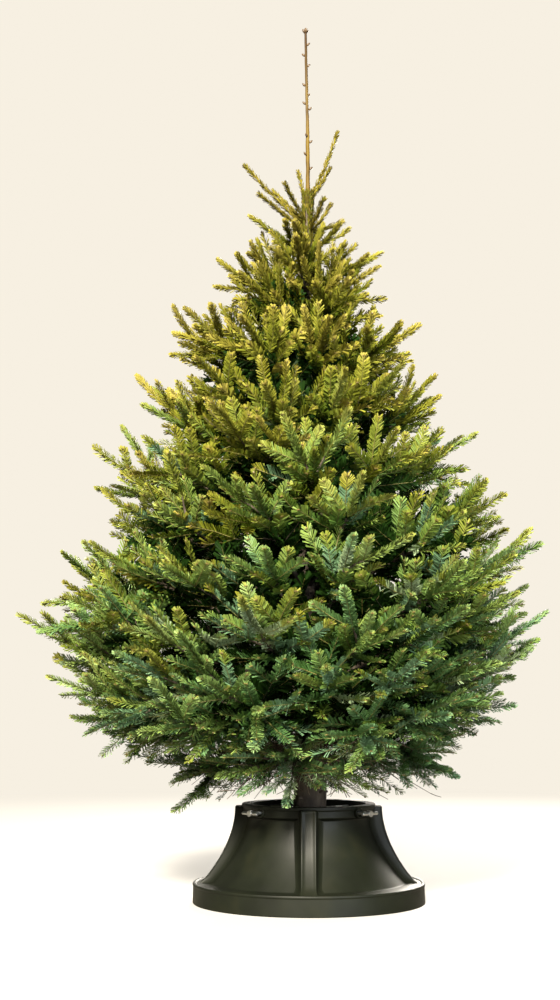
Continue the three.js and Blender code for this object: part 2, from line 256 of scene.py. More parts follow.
def beyond(points):
    """How far each point is outside the nearest CAD mass, and 0 inside one."""
    gaps = []
    for point in points:
        where, normal, _, away = solids.find_nearest(Vector(point))
        gaps.append(away if (Vector(point) - where).dot(normal) > 0 else 0.0)
    return np.array(gaps)


def near_solid(points, gap):
    """Those of the points that are inside a CAD mass or no further than the gap outside one."""
    return points[beyond(points) < gap]


trunk_verts, _ = node_arrays("trunk")
stations = []  # height, centre and radius of the trunk
for z in np.unique(np.round(trunk_verts[:, 2], 4)):
    ring = trunk_verts[np.abs(trunk_verts[:, 2] - z) < 1e-3]
    centre = ring[:, :2].mean(0)
    rim = axis_distance(ring[:, :2] - centre).max()
    if rim > 0.001:
        stations.append((z, centre[0], centre[1], rim))
stations = np.array(stations)


def stem(z):
    """Centre and radius of the trunk at a height."""
    x, y, r = (float(np.interp(z, stations[:, 0], stations[:, k])) for k in (1, 2, 3))
    return np.array([x, y, z]), r


# ---- how shoots and boughs grow

# The habit by height: how steeply shoots rise, yearly length at a bough's tip, length of side shoots, how
# much these turn up, and how old side branches get.
HEIGHTS = [0.24, 0.36, 0.46, 0.60, 0.75, 1.00, 1.30, 1.60, 1.72]
CLIMB = [-35, -14, 8, 25, 32, 36, 39, 42, 46]
TIP_LENGTH = [0.105, 0.115, 0.122, 0.128, 0.128, 0.128, 0.126, 0.120, 0.112]
SIDE_LENGTH = [0.090, 0.098, 0.108, 0.112, 0.112, 0.110, 0.106, 0.096, 0.084]
RISE = [-0.06, -0.03, 0.02, 0.06, 0.10, 0.13, 0.16, 0.18, 0.18]
MAX_AGE = [3, 3, 3, 3, 3, 3, 2, 1, 1]
CROWN_TOP = 1.70
BRANCH_FLOOR = 0.36  # no bough leaves the trunk lower than this

rows = []  # every shoot: a short stretch of twig that carries needles
boughs = []  # every bough: its points and its thickness
spray_count = 0


def habit(z, values):
    """One of the habits at a height."""
    return float(np.interp(z, HEIGHTS, values))


def new_spray():
    """Starts a new group of shoots that share one tint."""
    global spray_count
    spray_count += 1


def shoot(start, direction, dorsal, length, year, **extra):
    """Adds a shoot to the last spray and gives its far end. year 0 is this year's growth."""
    direction = unit(direction)
    dorsal = unit(dorsal - direction * np.dot(dorsal, direction))
    rows.append(dict(start=start, dir=direction, up=dorsal, length=length, year=year, spray=spray_count - 1,
                     **extra))
    return start + direction * length


def dorsal_of(direction):
    """The upper side of a twig that runs along a direction."""
    side = np.cross(UP, direction)
    if np.linalg.norm(side) < 0.05:
        side = np.array([1.0, 0, 0])
    return np.cross(unit(direction), unit(side))


def fork(direction, dorsal, hand, degrees, lift):
    """
    A direction that leaves a twig to one side, at an angle in a range of degrees, and a little towards its
    upper side, by a random lift with that mean and spread.
    """
    side = unit(np.cross(dorsal, direction))
    beta = math.radians(rng.uniform(*degrees))
    return unit(math.cos(beta) * direction + hand * math.sin(beta) * side + dorsal * rng.normal(*lift))


def grow_lateral(start, direction, dorsal, length, age, rise):
    """A side branch of the given age: yearly shoots in line, with pairs of younger ones at its nodes."""
    direction = unit(direction)
    point = start
    for k in range(age):
        year = age - 1 - k
        direction = unit(direction + rng.normal(0, 0.05, 3) + UP * rise)
        seg = length * rng.uniform(0.85, 1.12) * (0.95**k)
        before = point
        up = dorsal + rng.normal(0, 0.12, 3)
        point = shoot(point, direction, up, seg, year, bud=year == 0)
        for hand in (-1, 1) if year > 0 else ():
            if rng.random() < 0.93:
                way = fork(direction, dorsal, hand, (42, 58), (0.12, 0.10))
                grow_lateral(point, way, dorsal, length * rng.uniform(0.68, 0.86), year, rise)
        if year > 0 and rng.random() < 0.35:
            way = fork(direction, dorsal, rng.choice([-1, 1]), (45, 62), (0.2, 0.15))
            at = before + (point - before) * rng.uniform(0.35, 0.75)
            shoot(at, way, dorsal, length * rng.uniform(0.45, 0.65), min(year, 1), bud=True)


def walk(path):
    """A path's length, and a function that gives its point at a distance along it."""
    along = np.concatenate([[0], np.cumsum(np.linalg.norm(np.diff(path, axis=0), axis=1))])
    return along[-1], lambda s: np.array([np.interp(s, along, path[:, k]) for k in range(3)])


def grow_bough(path, thick, oldest=3, far=0.30, lean=15, **marks):
    """
    A bough along a path with the habit of its tip's height: yearly stretches counted from the tip inwards,
    each with side branches that are older, and so longer, the further in they are.
    """
    z = path[-1][2]
    tip_length = habit(z, TIP_LENGTH) * rng.uniform(0.92, 1.1)
    width, rise = habit(z, SIDE_LENGTH), habit(z, RISE)
    oldest = min(int(round(habit(z, MAX_AGE))), oldest)
    total, at = walk(path)
    ends = [total]
    while ends[-1] > 0.03 and len(ends) < 10:
        ends.append(max(0.0, ends[-1] - tip_length * rng.uniform(0.9, 1.12)))
    bare = ends[:2][-1]  # the part that no needles cover, or all of a very short bough
    boughs.append((np.array([at(s) for s in np.linspace(0, bare, 11)]), thick))
    new_spray()
    tilt = math.radians(rng.normal(0, lean))
    for year in range(len(ends) - 1):
        a, b = at(ends[year + 1]), at(ends[year])
        if np.linalg.norm(b - a) < 0.02:
            break
        direction = unit(b - a)
        dorsal = dorsal_of(direction)
        dorsal = unit(math.cos(tilt) * dorsal + math.sin(tilt) * np.cross(dorsal, direction))
        shoot(a, direction, dorsal, np.linalg.norm(b - a), year, bud=year == 0, main=True, **marks)
        depth = float(crown_radius(b[None])[0] - math.hypot(b[0], b[1]))
        if year == 0 or depth > far:
            continue
        age = min(year, oldest)
        for hand in (-1, 1):
            way = fork(direction, dorsal, hand, (42, 56), (0.12, 0.10))
            grow_lateral(b, way, dorsal, width * rng.uniform(0.9, 1.1), age, rise)
        new_spray()
        for _ in range(rng.integers(1, 4) if year > 1 else 0):
            way = fork(direction, dorsal, rng.choice([-1, 1]), (45, 65), (0.25, 0.25))
            where = a + (b - a) * rng.uniform(0.2, 0.85)
            grow_lateral(where, way, dorsal, width * rng.uniform(0.7, 0.95), max(1, age - 1), rise)


# ---- the ways of the boughs


def hermite(p, q, leave, arrive, count=14):
    """A curve from p, leaving along one vector, to q, arriving along another."""
    t = np.linspace(0, 1, count)[:, None]
    return ((2 * t**3 - 3 * t**2 + 1) * p + (t**3 - 2 * t**2 + t) * leave + (3 * t**2 - 2 * t**3) * q
            + (t**3 - t**2) * arrive)


def aim(point, spin=10):
    """The direction in which a bough's tip points at a place on the crown."""
    azimuth = math.atan2(point[1], point[0]) + math.radians(rng.normal(0, spin))
    climb = math.radians(habit(point[2], CLIMB) + rng.normal(0, 7))
    return outward(azimuth) * math.cos(climb) + UP * math.sin(climb)


def limb_of(mass):
    """The two ends of the CAD bough that carries a mass, or None."""
    name = mass.name.replace("foliage_", "bough_")
    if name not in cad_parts:
        return None
    verts, _ = node_arrays(name)
    radius = axis_distance(verts)
    return verts[radius < radius.min() + 0.004].mean(0), verts[radius > radius.max() - 0.004].mean(0)


def main_path(mass, tip, arrive):
    """From the trunk, along the CAD bough where there is one, to a tip of a mass."""
    limb = limb_of(mass)
    if limb:
        inner, outer = limb
        reach = np.linalg.norm(tip - outer)
        last = hermite(outer, tip, unit(outer - inner) * reach, arrive * reach)
        return np.concatenate([hermite(inner, outer, outer - inner, outer - inner, 5)[:-1], last])
    reach = math.hypot(tip[0], tip[1])
    climb = math.tan(math.radians(max(habit(tip[2], CLIMB) * 0.62, 2)))
    centre, r = stem(max(tip[2] - reach * climb, mass.root_z - 0.12, BRANCH_FLOOR))
    out = outward_at(tip)
    leave = unit(out + UP * climb * 0.7) * reach
    return hermite(centre + out * r * 0.5, tip, leave, arrive * reach)


def side_path(target, arrive):
    """From the best placed joint on a main bough, or else from the trunk, to a target."""
    v = target - joint_points
    gap = np.linalg.norm(v, axis=1)
    v = v / np.maximum(gap, 1e-6)[:, None]
    along, onward = np.sum(v * joint_ways, axis=1), v @ arrive
    cost = gap + 0.22 * (1 - along) + 0.16 * (1 - onward)
    cost[(gap < 0.13) | (gap > 0.5) | (along < 0.2) | (onward < 0.4)] = 9
    best = int(np.argmin(cost))
    if cost[best] < 9:
        leave = unit(joint_ways[best] * 0.5 + v[best]) * gap[best]
        return hermite(joint_points[best], target, leave, arrive * gap[best])
    reach = math.hypot(target[0], target[1])
    low = max(target[2] - reach * math.tan(math.radians(habit(target[2], CLIMB))), BRANCH_FLOOR)
    centre, r = stem(min(low, target[2] + 0.05))
    out = outward_at(target)
    return hermite(centre + out * r * 0.5, target, out * reach, arrive * reach)


joints = []  # where side boughs can leave a main bough: point and direction
main_tips = []
for mass in masses:
    for tip in mass.tips:
        arrive = aim(tip, 6)
        path = main_path(mass, tip - outward_at(tip) * 0.006, arrive)
        main_tips.append(tip)
        total, at = walk(path)
        for s in np.arange(0.05, total - 0.10, 0.025):
            joints.append((at(s), unit(at(s + 0.02) - at(s))))
        grow_bough(path, 0.008 + 0.006 * float(np.clip((1.3 - tip[2]) / 0.9, 0, 1)), spike=True)
joint_points = np.array([j[0] for j in joints])
joint_ways = np.array([j[1] for j in joints])

# ---- more tips, spread over the crown

SPIKE_SPACING, SPACING, HIGH_SPACING, LOW_SPACING = 0.105, 0.060, 0.050, 0.052
LOOSE = 0.036  # how far a bough's tip may be outside the masses
UNDERSIDE_TOP = 0.47
INNER_LAYERS = ((0.10, 0.080), (0.16, 0.082), (0.22, 0.085), (0.29, 0.092), (0.37, 0.100), (0.46, 0.110),
                (0.54, 0.12))  # depth inside the crown's outside, and spacing
DEAD_TWIGS = 95
# Long sprays that stand well out of the crown: azimuth, height of the tip, its distance from the axis.
LONG_SPRAYS = (
    (180, 1.131, 0.545),
    (177, 1.188, 0.478),
    (184, 1.020, 0.532),
    (181, 0.885, 0.565),
    (186, 1.306, 0.411),
    (183, 1.424, 0.341),
    (0, 1.411, 0.304),
    (4, 1.319, 0.329),
    (356, 1.162, 0.342),
    (2, 0.918, 0.502),
    (3, 1.227, 0.320),
    (350, 1.205, 0.318),
    (0, 1.092, 0.370),
    (8, 1.075, 0.375),
    (350, 1.060, 0.392),
    (358, 1.030, 0.404),
)


def around(number, low, high, inset):
    """Random places at a depth inside the crown's outside."""
    azimuth = rng.uniform(-np.pi, np.pi, number)
    points = np.stack([np.cos(azimuth), np.sin(azimuth), rng.uniform(low, high, number)], axis=1)
    radius = crown_radius(points) - inset
    points[:, :2] *= radius[:, None]
    return points[radius > 0.045]


def scattered(points, taken, gap, high_gap=None):
    """Those of the points that stand clear of each other and of taken places, closer near the top."""
    chosen = []
    for point in points:
        room = gap if high_gap is None else np.interp(point[2], [1.25, 1.60], [gap, high_gap])
        if np.min(np.sum((taken - point) ** 2, axis=1)) > room**2:
            taken = np.concatenate([taken, point[None]])
            chosen.append(point)
    return chosen


def inset_by(least, spread, number):
    """Random depths, most of them near the least."""
    return least + np.abs(rng.normal(0.0, spread, number))


def underside():
    """Random places on the lowest part of the masses' surface."""
    places = []
    for mass in masses:
        a, b, c = (mass.verts[mass.tris[:, k]] for k in range(3))
        area = np.linalg.norm(np.cross(b - a, c - a), axis=1)
        picked = rng.choice(len(a), 300, p=area / area.sum())
        uv = rng.random((300, 2))
        uv[uv.sum(1) > 1] = 1 - uv[uv.sum(1) > 1]
        places.append(a[picked] + (b - a)[picked] * uv[:, :1] + (c - a)[picked] * uv[:, 1:])
    places = np.concatenate(places)
    rng.shuffle(places)
    return places[places[:, 2] < UNDERSIDE_TOP]


def grow_dead(number):
    """Bare dead twigs that fan out and down from the foot of the crown."""
    for _ in range(number):
        centre, r = stem(rng.uniform(0.34, 0.50))
        out = outward(rng.uniform(0, 2 * math.pi))
        point, way = centre + out * r * 0.9, unit(out + UP * rng.uniform(-0.9, 0.1))
        new_spray()
        for k in range(rng.integers(2, 5)):
            stretch = rng.uniform(0.045, 0.085)
            dorsal = dorsal_of(way)
            point = shoot(point, way, dorsal, stretch, max(0, 2 - k), dead=True)
            for hand in (-1, 1):
                aside = fork(way, dorsal, hand, (25, 55), (0, 0.3))
                shoot(point, aside, dorsal, stretch * rng.uniform(0.4, 1.0), 0, dead=True)
            way = unit(way + rng.normal(0, 0.16, 3) - UP * 0.08)


under = underside()
spikes = near_solid(around(4000, 0.42, CROWN_TOP, rng.uniform(-0.020, 0.01, 4000)), 0.040)
spikes = scattered(spikes, np.array(main_tips), SPIKE_SPACING)
fill = near_solid(around(14000, 0.40, CROWN_TOP, inset_by(0.046, 0.030, 14000)), LOOSE)
fill = scattered(fill, np.array(main_tips + spikes), SPACING, HIGH_SPACING)
low_fill = near_solid(around(3000, 0.29, 0.50, inset_by(0.01, 0.06, 3000)), LOOSE)
low_in = around(2500, 0.265, 0.37, rng.uniform(0.03, 0.26, 2500))
low_in = low_in[axis_distance(low_in) > 0.09]
fill += scattered(np.concatenate([low_fill, under, low_in]), np.array(main_tips + fill), LOW_SPACING)
for tip in spikes:
    grow_bough(side_path(tip, aim(tip)), 0.0055, spike=True)
for tip in fill:
    grow_bough(side_path(tip, aim(tip)), 0.0055)
# Older sprays inside the crown, in layers, which close it behind its outer shoots.
for deep, gap in INNER_LAYERS:
    points = around(6000, BRANCH_FLOOR, 1.56, deep + rng.normal(0, 0.015, 6000))
    for point in scattered(points, np.zeros((1, 3)), gap):
        path = side_path(point, aim(point, 30))
        grow_bough(path, 0.0045, 1 if deep > 0.1 else 2, deep + 0.12, lean=55)
grow_dead(DEAD_TWIGS)
for azimuth, height, reach in LONG_SPRAYS:
    out = outward(math.radians(azimuth))
    arrive = unit(out + UP * rng.uniform(0.36, 0.56))
    grow_bough(side_path(out * reach + UP * height, arrive), 0.0055, spike=True, long=True)

# ---- the topmost growth

COMB, TOP, STEM = range(3)  # how a shoot carries its needles: in two flat ranks, all round, or on one side
LEADER_FOOT = 1.796
# Each slim shoot under the leader: azimuth, height, reach, rise, how it bends up, radius over its needles.
TOP_SHOOTS = (
    (8, 1.790, 0.079, 0.180, 1.35, 0.0070),
    (340, 1.782, 0.060, 0.079, 1.40, 0.0070),
    (150, 1.772, 0.028, 0.091, 1.30, 0.0070),
    (186, 1.712, 0.162, 0.158, 1.15, 0.0082),
    (208, 1.694, 0.138, 0.082, 1.00, 0.0082),
    (160, 1.716, 0.094, 0.101, 1.00, 0.0078),
    (232, 1.716, 0.092, 0.084, 1.10, 0.0085),
    (75, 1.700, 0.042, 0.058, 1.20, 0.0085),
    (352, 1.694, 0.060, 0.073, 1.50, 0.0070),
    (28, 1.694, 0.100, 0.044, 1.20, 0.0090),
    (300, 1.696, 0.078, 0.062, 1.20, 0.0090),
    (115, 1.698, 0.092, 0.080, 1.10, 0.0085),
)
STEM_NEEDLES_FROM, STEM_RING_STEP, STEM_RING_COUNT = 1.56, 0.02, 14


def grow_top():
    """The shoots that curve up out of the stem under the leader, and the needles pressed to the stem."""
    for azimuth, z, reach, rise, power, radius in TOP_SHOOTS:
        out = outward(math.radians(azimuth))
        centre, _ = stem(z)
        new_spray()
        points = [centre + out * reach * t + UP * rise * t**power for t in np.linspace(0, 1, 5)]
        for k in range(4):
            way = points[k + 1] - points[k]
            shoot(points[k], way, dorsal_of(way), np.linalg.norm(way), 0, bud=k == 3, needle=radius * 2.05,
                  pitch=24, kind=TOP)
    for z in np.arange(STEM_NEEDLES_FROM, LEADER_FOOT, STEM_RING_STEP):
        centre, r = stem(z)
        new_spray()
        for k in range(STEM_RING_COUNT):
            out = outward(2 * math.pi * (k + rng.random()) / STEM_RING_COUNT)
            foot = centre + out * (r + 0.0025)
            shoot(foot, UP, out, 0.022, 0, needle=0.013, pitch=20, kind=STEM)


grow_top()

# ---- shoots as arrays


def column(key, default=None):
    """One value of every shoot, as an array."""
    return np.array([row.get(key, default) for row in rows])


START, DIR, DORSAL, LENGTH = column("start"), column("dir"), column("up"), column("length")
YEAR, SPRAY, BUD, MAIN = column("year"), column("spray"), column("bud", False), column("main", False)
KIND, NEEDLE, PITCH = column("kind", COMB), column("needle", 0.0), column("pitch", 0.0)
SPIKE, DEAD, LONG = column("spike", False), column("dead", False), column("long", False)
SHOOTS = len(rows)
comb = KIND == COMB


def inside_by(points):
    """How far points are inside the crown's outside."""
    return crown_radius(points) - axis_distance(points)


# Shoots that stray out of the crown are shortened or dropped.
END = START + DIR * LENGTH[:, None]
over = 0.010 - inside_by(END)
free = ~comb | SPIKE | (over < 0)
keep = free | (over < 0.055)
LENGTH = LENGTH * np.where(free, 1.0, np.clip(1 - over / LENGTH, 0.5, 1))
END = START + DIR * LENGTH[:, None]
low_limit, high_limit = np.array(CAD_BOX[0]), np.array(CAD_BOX[1])
keep &= np.all((END > low_limit - 0.01) & (END < high_limit + 0.01), axis=1) & (END[:, 2] > 0.19)
MIDDLE = 0.5 * (START + END)
inset = inside_by(MIDDLE)
depth = np.where(comb, inset, 0.0)
long_spray = np.isin(SPRAY, SPRAY[LONG])
keep &= ~comb | DEAD | (beyond(END) < np.where(long_spray, 0.16, np.where(SPIKE, 0.070, 0.050)))
keep &= ~DEAD | ((END[:, 2] > 0.25) & (START[:, 2] > 0.25))


def thin_out():
    """Young shoots that crowd one another thin themselves out."""
    room = np.interp(MIDDLE[:, 2], [1.3, 1.6], [0.031, 0.030])
    young = np.nonzero(keep & comb & ~DEAD & (YEAR == 0) & (inset < 0.20))[0]
    young = young[np.argsort(rng.random(len(young)) - 2.0 * SPIKE[young] - 0.4 * MAIN[young])]
    settled = np.zeros((0, 3))
    for k in young:
        if len(settled) and np.min(np.sum((settled - MIDDLE[k]) ** 2, axis=1)) < room[k] ** 2:
            keep[k] = False
        else:
            settled = np.concatenate([settled, MIDDLE[k][None]])


thin_out()
# A slight bow, mostly upwards, so that no shoot is quite straight.
bow = DORSAL * (rng.normal(-0.012, 0.018, SHOOTS) * LENGTH)[:, None]
bow += np.cross(DORSAL, DIR) * (rng.normal(0, 0.02, SHOOTS) * LENGTH)[:, None]
bow[~comb] = 0
MIDDLE = MIDDLE + bow
height = MIDDLE[:, 2]

# Needles per metre of shoot, fewer but broader where they are buried in the crown.
NEEDLE_BUDGET = 362000
skirt = np.interp(height, [0.32, 0.46], [1.0, 0.0])  # how far a shoot is under the crown
density = np.interp(depth, [0.0, 0.09, 0.14, 0.20, 0.28], [2000, 1700, 850, 480, 330])
density = np.maximum(density, 900 * skirt)
bulk = np.interp(depth, [0.10, 0.15, 0.20, 0.27], [1.0, 1.5, 2.3, 3.3])
bulk[skirt > 0.4] = 1.0
# How round a shoot is: the ones that stand out of the crown and those near its top are plump rods.
plumpness = np.interp(height, [1.10, 1.50], [0.0, 1.0]) + 0.65 * SPIKE + rng.normal(0, 0.12, SHOOTS)
plumpness = np.clip(plumpness, 0, 1) * comb
density *= 1 + 0.50 * plumpness * (depth < 0.12)
density *= np.interp(YEAR, [0, 1, 2, 4], [1.0, 0.95, 0.8, 0.55])
bare_zone = comb & (skirt > 0.1) & (axis_distance(MIDDLE) < 0.30) & (depth > 0.12)
dead = DEAD | bare_zone & (rng.random(SHOOTS) < 0.3)
density[dead] = 0
density[KIND == STEM] = 640
density[KIND == TOP] = 2100
density[~keep] = 0
density *= min(1.0, NEEDLE_BUDGET / (density * LENGTH).sum())

# ---- needles

count = np.floor(density * LENGTH + rng.random(SHOOTS)).astype(int)
of = np.repeat(np.arange(SHOOTS), count)  # the shoot of each needle
n = len(of)
rank = np.arange(n) - (np.cumsum(count) - count)[of]
flip = rng.choice([-1.0, 1.0], SHOOTS)[of]
t = ((rank + 0.5 + rng.uniform(-0.35, 0.35, n)) / count[of]) ** 0.88

# A needle's turn round its shoot, 0 on the upper side: most stand out in two flat ranks, shorter ones lie
# forward along the top, and a few hang below.
high = np.interp(height, [1.15, 1.55], [0.0, 1.0])[of]
plump = plumpness[of]
brush, on_stem = (KIND == TOP)[of], (KIND == STEM)[of]
hand = np.where(rank % 2 == 0, 1.0, -1.0) * flip
sort = rng.random(n)
hang = rng.uniform(105, 165, n)
flat, upper = rng.normal(74, 11, n), rng.uniform(3, 64, n)
turn = np.where(sort < 0.56 - 0.34 * plump, flat, np.where(sort < 0.92 - 0.24 * plump, upper, hang))
roll = np.radians(turn) * hand
roll[brush] = rng.uniform(-np.pi, np.pi, brush.sum())
roll[on_stem] = rng.normal(0, 0.5, on_stem.sum())
sideways = np.abs(np.sin(roll))
open_angle = 37 - 5 * plump + (15 - 11 * plump) * sideways + rng.normal(0, 3.5, SHOOTS)[of]
pitch = np.where(PITCH[of] > 0, PITCH[of], open_angle)
pitch = np.radians(pitch + rng.normal(0, 3.0, n)) * (1 - 0.5 * t**8)


def square_to(vectors, axes):
    """What is left of each vector square to an axis, at length one."""
    return unit(vectors - axes * np.sum(vectors * axes, axis=1)[:, None])


axis = unit(DIR[of] + 4 * bow[of] * ((1 - 2 * t) / LENGTH[of])[:, None])
dorsal = square_to(DORSAL[of], axis)
side = np.cross(dorsal, axis)
radial = np.cos(roll)[:, None] * dorsal + np.sin(roll)[:, None] * side
way = unit(np.cos(pitch)[:, None] * axis + np.sin(pitch)[:, None] * radial)
given = NEEDLE[of] > 0
length = np.where(NEEDLE > 0, NEEDLE, rng.uniform(0.0175, 0.0215, SHOOTS))[of]
length *= rng.uniform(0.92, 1.06, n) * np.interp(t, [0, 0.08, 0.85, 1.0], [0.75, 1.0, 1.0, 0.62])
ranked = (0.70 + 0.20 * plump + (0.30 - 0.20 * plump) * sideways**2) * (1 - 0.14 * high)
length *= np.where(given, 1.0, ranked)
length *= 1 + 0.35 * (bulk[of] - 1)
half_width = rng.uniform(0.00108, 0.00130, n) * np.where(given, 0.95, 1 + 0.18 * plump) * bulk[of]
# The blades lie flat in the rank, turned and curled a little each its own way.
facing = np.where(brush | on_stem, 1.0, 0.25 + 0.70 * plump)[:, None]
facing = unit(dorsal * (1 - facing) + radial * facing)
normal = unit(square_to(facing, way) + rng.normal(0, 0.26, (n, 3)))
across = unit(np.cross(way, normal))
normal = np.cross(across, way)
twist = rng.normal(0, 0.25, n)
far_across = across * np.cos(twist)[:, None] + normal * np.sin(twist)[:, None]
root = START[of] + DIR[of] * (t * LENGTH[of])[:, None] + bow[of] * (4 * t * (1 - t))[:, None]
root += radial * 0.0009
tip = root + way * length[:, None] + normal * (length * rng.normal(0.03, 0.05, n))[:, None]
low_half = across * (half_width[:, None] * 0.62)
high_half = far_across * (half_width[:, None] * 0.92)
needle_verts = np.stack([root - low_half, root + low_half, tip + high_half, tip - high_half], axis=1)

# ---- tints of the needles

# Tints are dealt out by spray. The families run from the yellow top of the crown to its blue-green foot:
# how much red and blue each has beside its green, and how light it is. The warm top families are darker, as
# painted shade. The first three have little gloss.
FAMILIES = {
    "gold": (1.11, 0.12, 0.80),
    "straw": (0.98, 0.10, 0.80),
    "moss": (0.86, 0.13, 0.86),
    "leaf": (0.70, 0.18, 0.95),
    "fern": (0.62, 0.23, 0.95),
    "pine": (0.51, 0.32, 0.85),
}
# Each grade is a lit or shaded copy of a family, painted light and shade: how bright a grade is, and how
# much more red and blue it has. The sunny grade's extra blue is a painted pale highlight.
GRADES = {
    "sunny": (0.255, 1.04, 1.70),
    "bright": (0.195, 1.00, 1.20),
    "even": (0.138, 0.93, 0.95),
    "dim": (0.085, 0.78, 0.70),
}
TINTS = {
    f"{family}_{grade}": (red * level * light * more_red, level * light, blue * level * light * more_blue)
    for family, (red, blue, light) in FAMILIES.items()
    for grade, (level, more_red, more_blue) in GRADES.items()
}
BLUE, SILVER, SHADE, OCHRE, UMBER = range(len(TINTS), len(TINTS) + 5)
TINTS |= {"blue": (0.074, 0.140, 0.072), "silver": (0.165, 0.225, 0.120), "shade": (0.007, 0.020, 0.003)}
TINTS |= {"ochre": (0.165, 0.135, 0.020), "umber": (0.060, 0.050, 0.008)}
GOLD_EVEN, GOLD_DIM = 2, 3
DULL, DULL_GLOSS, GLOSS = ("gold", "straw", "moss", "shade", "ochre", "umber"), 0.05, 0.20

tally = np.maximum(np.bincount(SPRAY, minlength=spray_count), 1)
spray_x, spray_z = (np.bincount(SPRAY, MIDDLE[:, k], minlength=spray_count) / tally for k in (0, 2))
# Which family a spray belongs to: by height, warmer to the left as painted warm light from the key, with
# some chance.
kin = np.interp(spray_z, [0.42, 0.62, 0.85, 1.13, 1.33, 1.60], [5.0, 3.9, 3.0, 2.0, 1.0, 0.0])
kin += 1.3 * spray_x * np.interp(spray_z, [0.4, 1.3], [1.0, 0.4])
kin += rng.normal(0, 1, spray_count) * np.interp(spray_z, [1.0, 1.5], [0.70, 0.40])
# How much painted shade a spray gets, which deals it darker grades: more so low down, on the right, deeper
# in the crown and on the stem. Older wood gets more too, as its needles are darker. The end of a shoot gets
# less: its young needles are paler and also carry a painted highlight.
spray_painted_shade = 2.35 + np.interp(spray_z, [0.36, 0.75], [0.4, 0.0]) + 0.3 * spray_x + rng.normal(0, 0.40, spray_count)
# Blue and silver sprays, more on the right and low down where the cool fill light falls: partly the needles'
# pale undersides, partly painted cool light.
cast = rng.random(spray_count)
cast_chance = np.clip(0.16 + 0.22 * spray_x + 0.16 * (1.0 - spray_z), 0.02, 0.45)
cast_chance *= np.interp(spray_z, [0.9, 1.35], [1.0, 0.0])
bluish = (cast < cast_chance * 0.65)[SPRAY[of]]
silvery = (cast > 1 - cast_chance * 0.35)[SPRAY[of]] & ~bluish
shoot_painted_shade = spray_painted_shade[SPRAY] + rng.normal(0, 0.30, SHOOTS) + np.interp(YEAR, [0, 1, 3], [-0.25, 0.35, 0.9])
shoot_painted_shade += np.interp(depth, [0.05, 0.18], [0.0, 1.3]) + 1.0 * (KIND == STEM)
along = comb[of] * (1.5 * (t - 0.5) + 0.8 * t**6)
needle_painted_shade = shoot_painted_shade[of] + rng.normal(0, 0.16, n) - along
grade = np.clip(np.round(needle_painted_shade), 1, 4).astype(int) - 1
# Young tips turn to a yellower family: the new growth's own colour and a painted highlight.
warmer_tip = np.where(YEAR[of] == 0, 1.2 * t**4, 0.0)
family = np.clip(np.round(kin[SPRAY[of]] - warmer_tip + rng.normal(0, 0.2, n)), 0, 5).astype(int)
brown = rng.random(n)
needle_tint = family * len(GRADES) + grade
# Of those that hold for a needle, the last one counts.
for holds, tint in (
    (bluish & (needle_painted_shade > 1.8) & (t < 0.75), BLUE),
    (silvery & (t < 0.7), SILVER),
    # Needles deep inside the crown are near black: painted shade.
    ((depth[of] > 0.20) & (skirt[of] < 0.3), SHADE),
    (brush, GOLD_EVEN),
    (on_stem, GOLD_DIM),
    (brush & (brown < 0.85) | on_stem & (brown < 0.75), UMBER),
    (brush & (brown < 0.55) | on_stem & (brown < 0.10), OCHRE),
):
    needle_tint[holds] = tint

PIECE_NEEDLES = 95000  # the most needles in one piece
needle_faces = np.array([[0, 1, 2], [0, 2, 3]])
for k, (name, color) in enumerate(TINTS.items()):
    gloss = DULL_GLOSS if name.split("_")[0] in DULL else GLOSS
    blade = Surface("needle_" + name, color, 0.45, Specular_IOR_Level=gloss)
    chosen = np.nonzero(needle_tint == k)[0]
    for part, first in enumerate(range(0, len(chosen), PIECE_NEEDLES)):
        some = chosen[first : first + PIECE_NEEDLES]
        faces = (np.arange(len(some))[:, None, None] * 4 + needle_faces).reshape(-1, 3)
        verts = needle_verts[some].reshape(-1, 3)
        piece = make_object(f"needles_{name}_{part + 1}", verts, [faces], blade.material)
        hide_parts(*foliage_nodes)

# ---- twigs and buds


def frame_of(way):
    """Two directions square to each of many directions."""
    helper = np.where(np.abs(way[..., 2:3]) > 0.9, np.array([1.0, 0, 0]), UP)
    u = unit(np.cross(way, helper))
    return u, np.cross(way, u)


def turns(sides):
    """Angles evenly round a circle."""
    return 2 * np.pi * np.arange(sides) / sides


def rings_round(centres, u, v, radii, sides):
    """Rings of vertices round centres; radii go by ring, or by ring and vertex."""
    turn = turns(sides)
    ring = np.cos(turn)[:, None] * u[..., None, :] + np.sin(turn)[:, None] * v[..., None, :]
    return centres[..., None, :] + ring * radii[..., None]


def wall(rings, sides):
    """The quads between rings of vertices that follow one another."""
    i = np.arange(sides)
    one = np.stack([i, (i + 1) % sides, (i + 1) % sides + sides, i + sides], axis=1)
    return (np.arange(rings - 1)[:, None, None] * sides + one).reshape(-1, 4)


def caps(rings, sides):
    """The fans that close a wall, round one vertex for each end that follows the rings."""
    i, last = np.arange(sides), rings * sides
    j = (i + 1) % sides
    low, high = np.full(sides, last), np.full(sides, last + 1)
    return np.stack([low, j, i], axis=1), np.stack([high, last - sides + i, last - sides + j], axis=1)


def copies(faces, vertices, number):
    """The faces of one small mesh repeated for many copies of it."""
    return (np.arange(number)[:, None, None] * vertices + faces).reshape(-1, faces.shape[1])


def twigs(name, chosen, color, scale, stops, roughness):
    """Bowed, tapered twigs as one piece."""
    points = np.stack([START[chosen], MIDDLE[chosen], END[chosen]], axis=1)
    u, v = frame_of(DIR[chosen])
    radii = (0.00095 + 0.0005 * YEAR[chosen])[:, None] * np.array([1.15, 1.0, 0.8])
    verts = rings_round(points, u[:, None], v[:, None], radii[..., None], 3).reshape(-1, 3)
    surface = Surface(name.replace("twigs", "twig"), color, roughness)
    surface.mottle(scale, stops)
    make_object(name, verts, [copies(wall(3, 3), 9, len(points))], surface.material, True)


